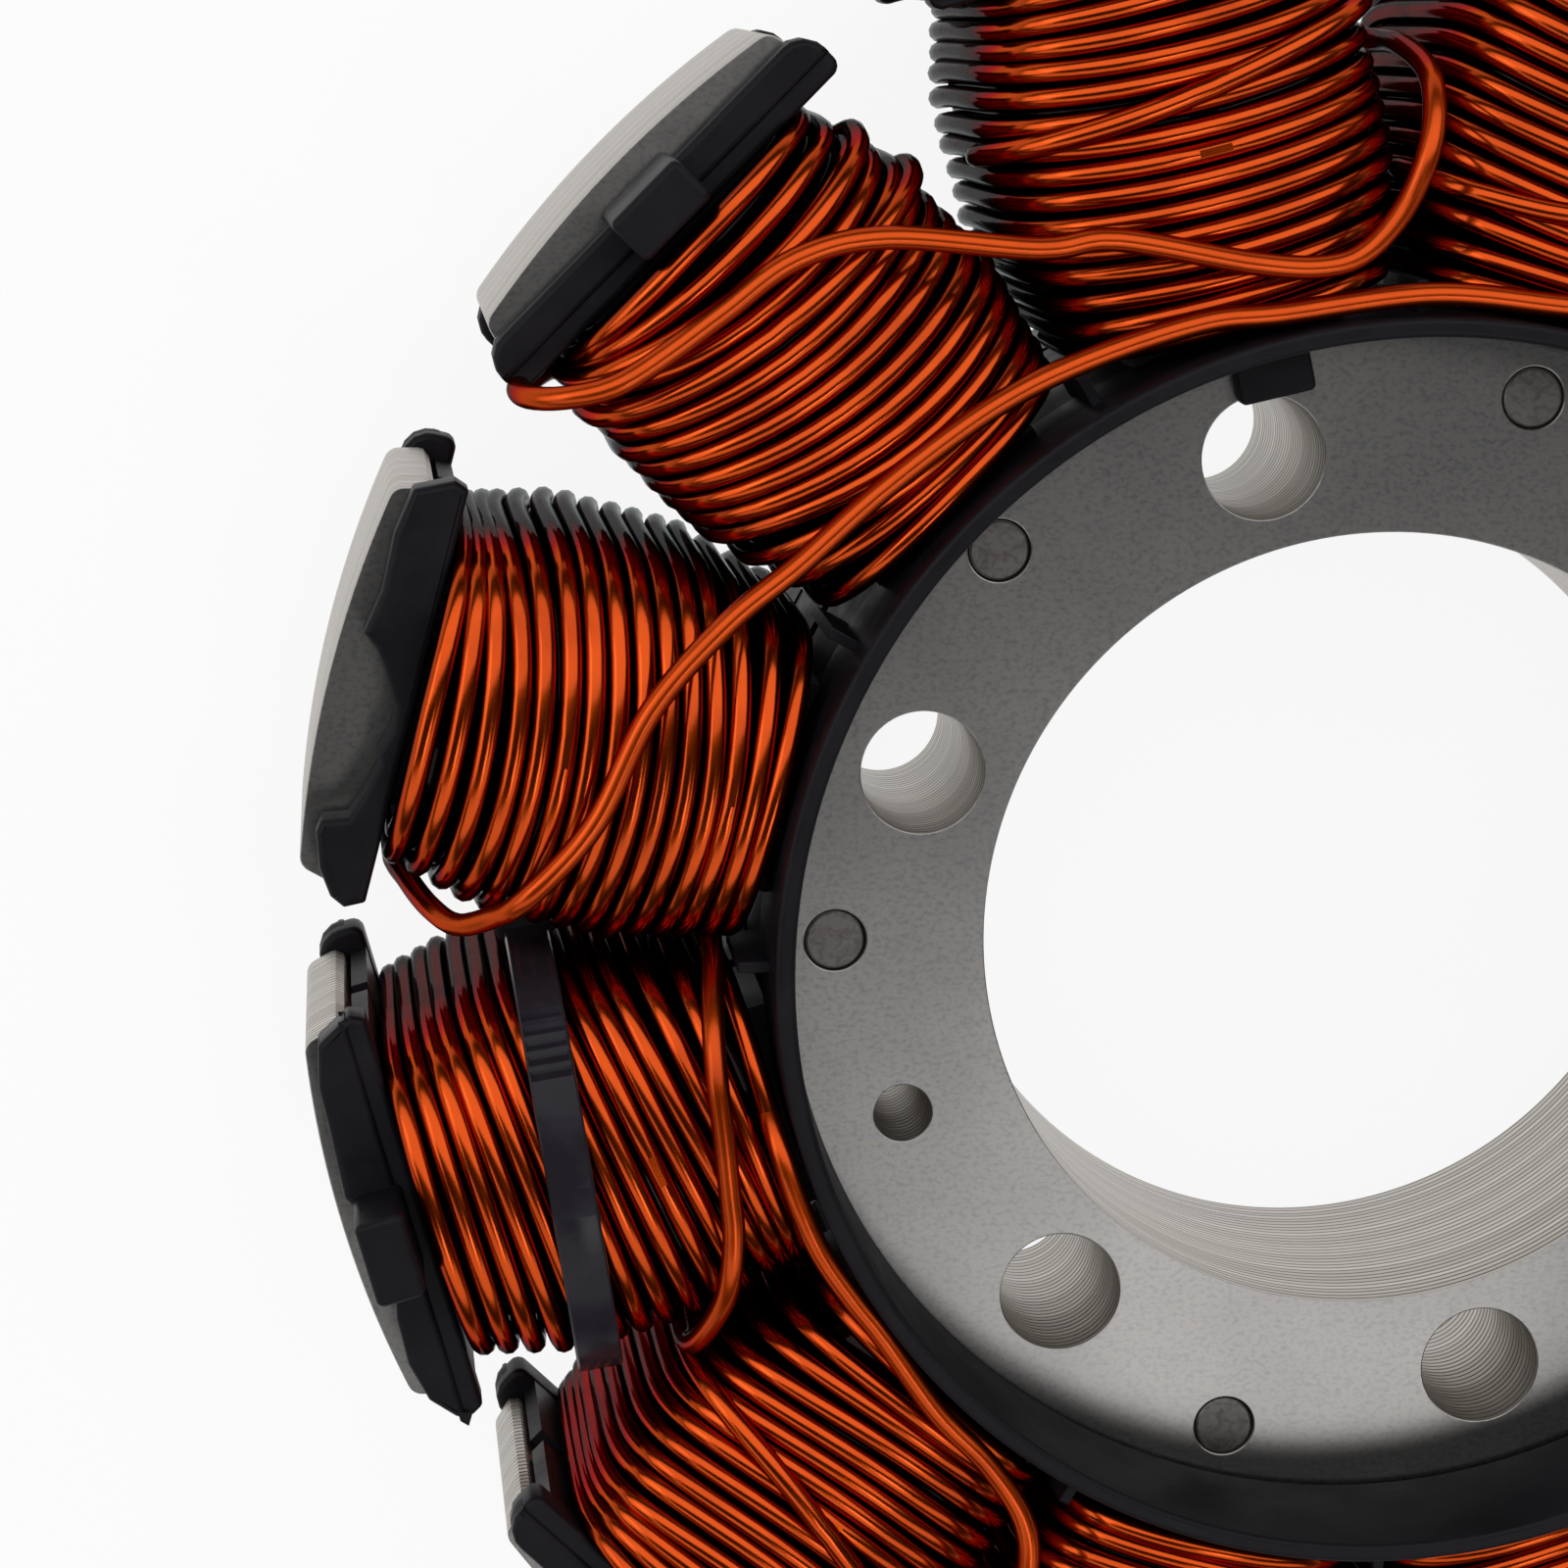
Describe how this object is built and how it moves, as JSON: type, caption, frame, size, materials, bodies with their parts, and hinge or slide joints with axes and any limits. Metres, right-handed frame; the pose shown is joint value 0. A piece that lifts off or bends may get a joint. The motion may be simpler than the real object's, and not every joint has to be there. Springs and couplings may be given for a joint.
{
  "type": "wound stator",
  "caption": "Wound stator of a small generator: laminated steel ring with T-shaped poles in black moulded insulators, each pole carrying a coil of varnished copper wire.",
  "frame": {"origin": "where the bore's axis meets the plane that the back insulator's rim and blocks stand on", "axes": "+Z along the bore's axis, from the back insulator to the front one; the poles lie at 15 degrees from +X and every 30 degrees on"},
  "size_m": [0.1134, 0.1134, 0.0316],
  "materials": {
    "laminated_steel": "satin",
    "rivet_steel": "satin",
    "insulator_plastic": "satin",
    "tie_nylon": "satin",
    "enamelled_copper": "varnished"
  },
  "bodies": {
    "root": {"laminated_core": "laminated_steel", "front_insulator": "insulator_plastic", "back_insulator": "insulator_plastic", "cable_tie": "tie_nylon", "rivet_01": "rivet_steel", "rivet_02": "rivet_steel", "rivet_03": "rivet_steel", "rivet_04": "rivet_steel", "rivet_05": "rivet_steel", "rivet_06": "rivet_steel", "coil_01": "enamelled_copper", "coil_02": "enamelled_copper", "coil_03": "enamelled_copper", "coil_04": "enamelled_copper", "coil_05": "enamelled_copper", "coil_06": "enamelled_copper", "coil_07": "enamelled_copper", "coil_08": "enamelled_copper", "coil_09": "enamelled_copper", "coil_10": "enamelled_copper", "coil_11": "enamelled_copper", "coil_12": "enamelled_copper", "crossover_wire_01": "enamelled_copper", "crossover_wire_02": "enamelled_copper", "crossover_wire_03": "enamelled_copper", "crossover_wire_04": "enamelled_copper"}
  },
  "joints": []
}
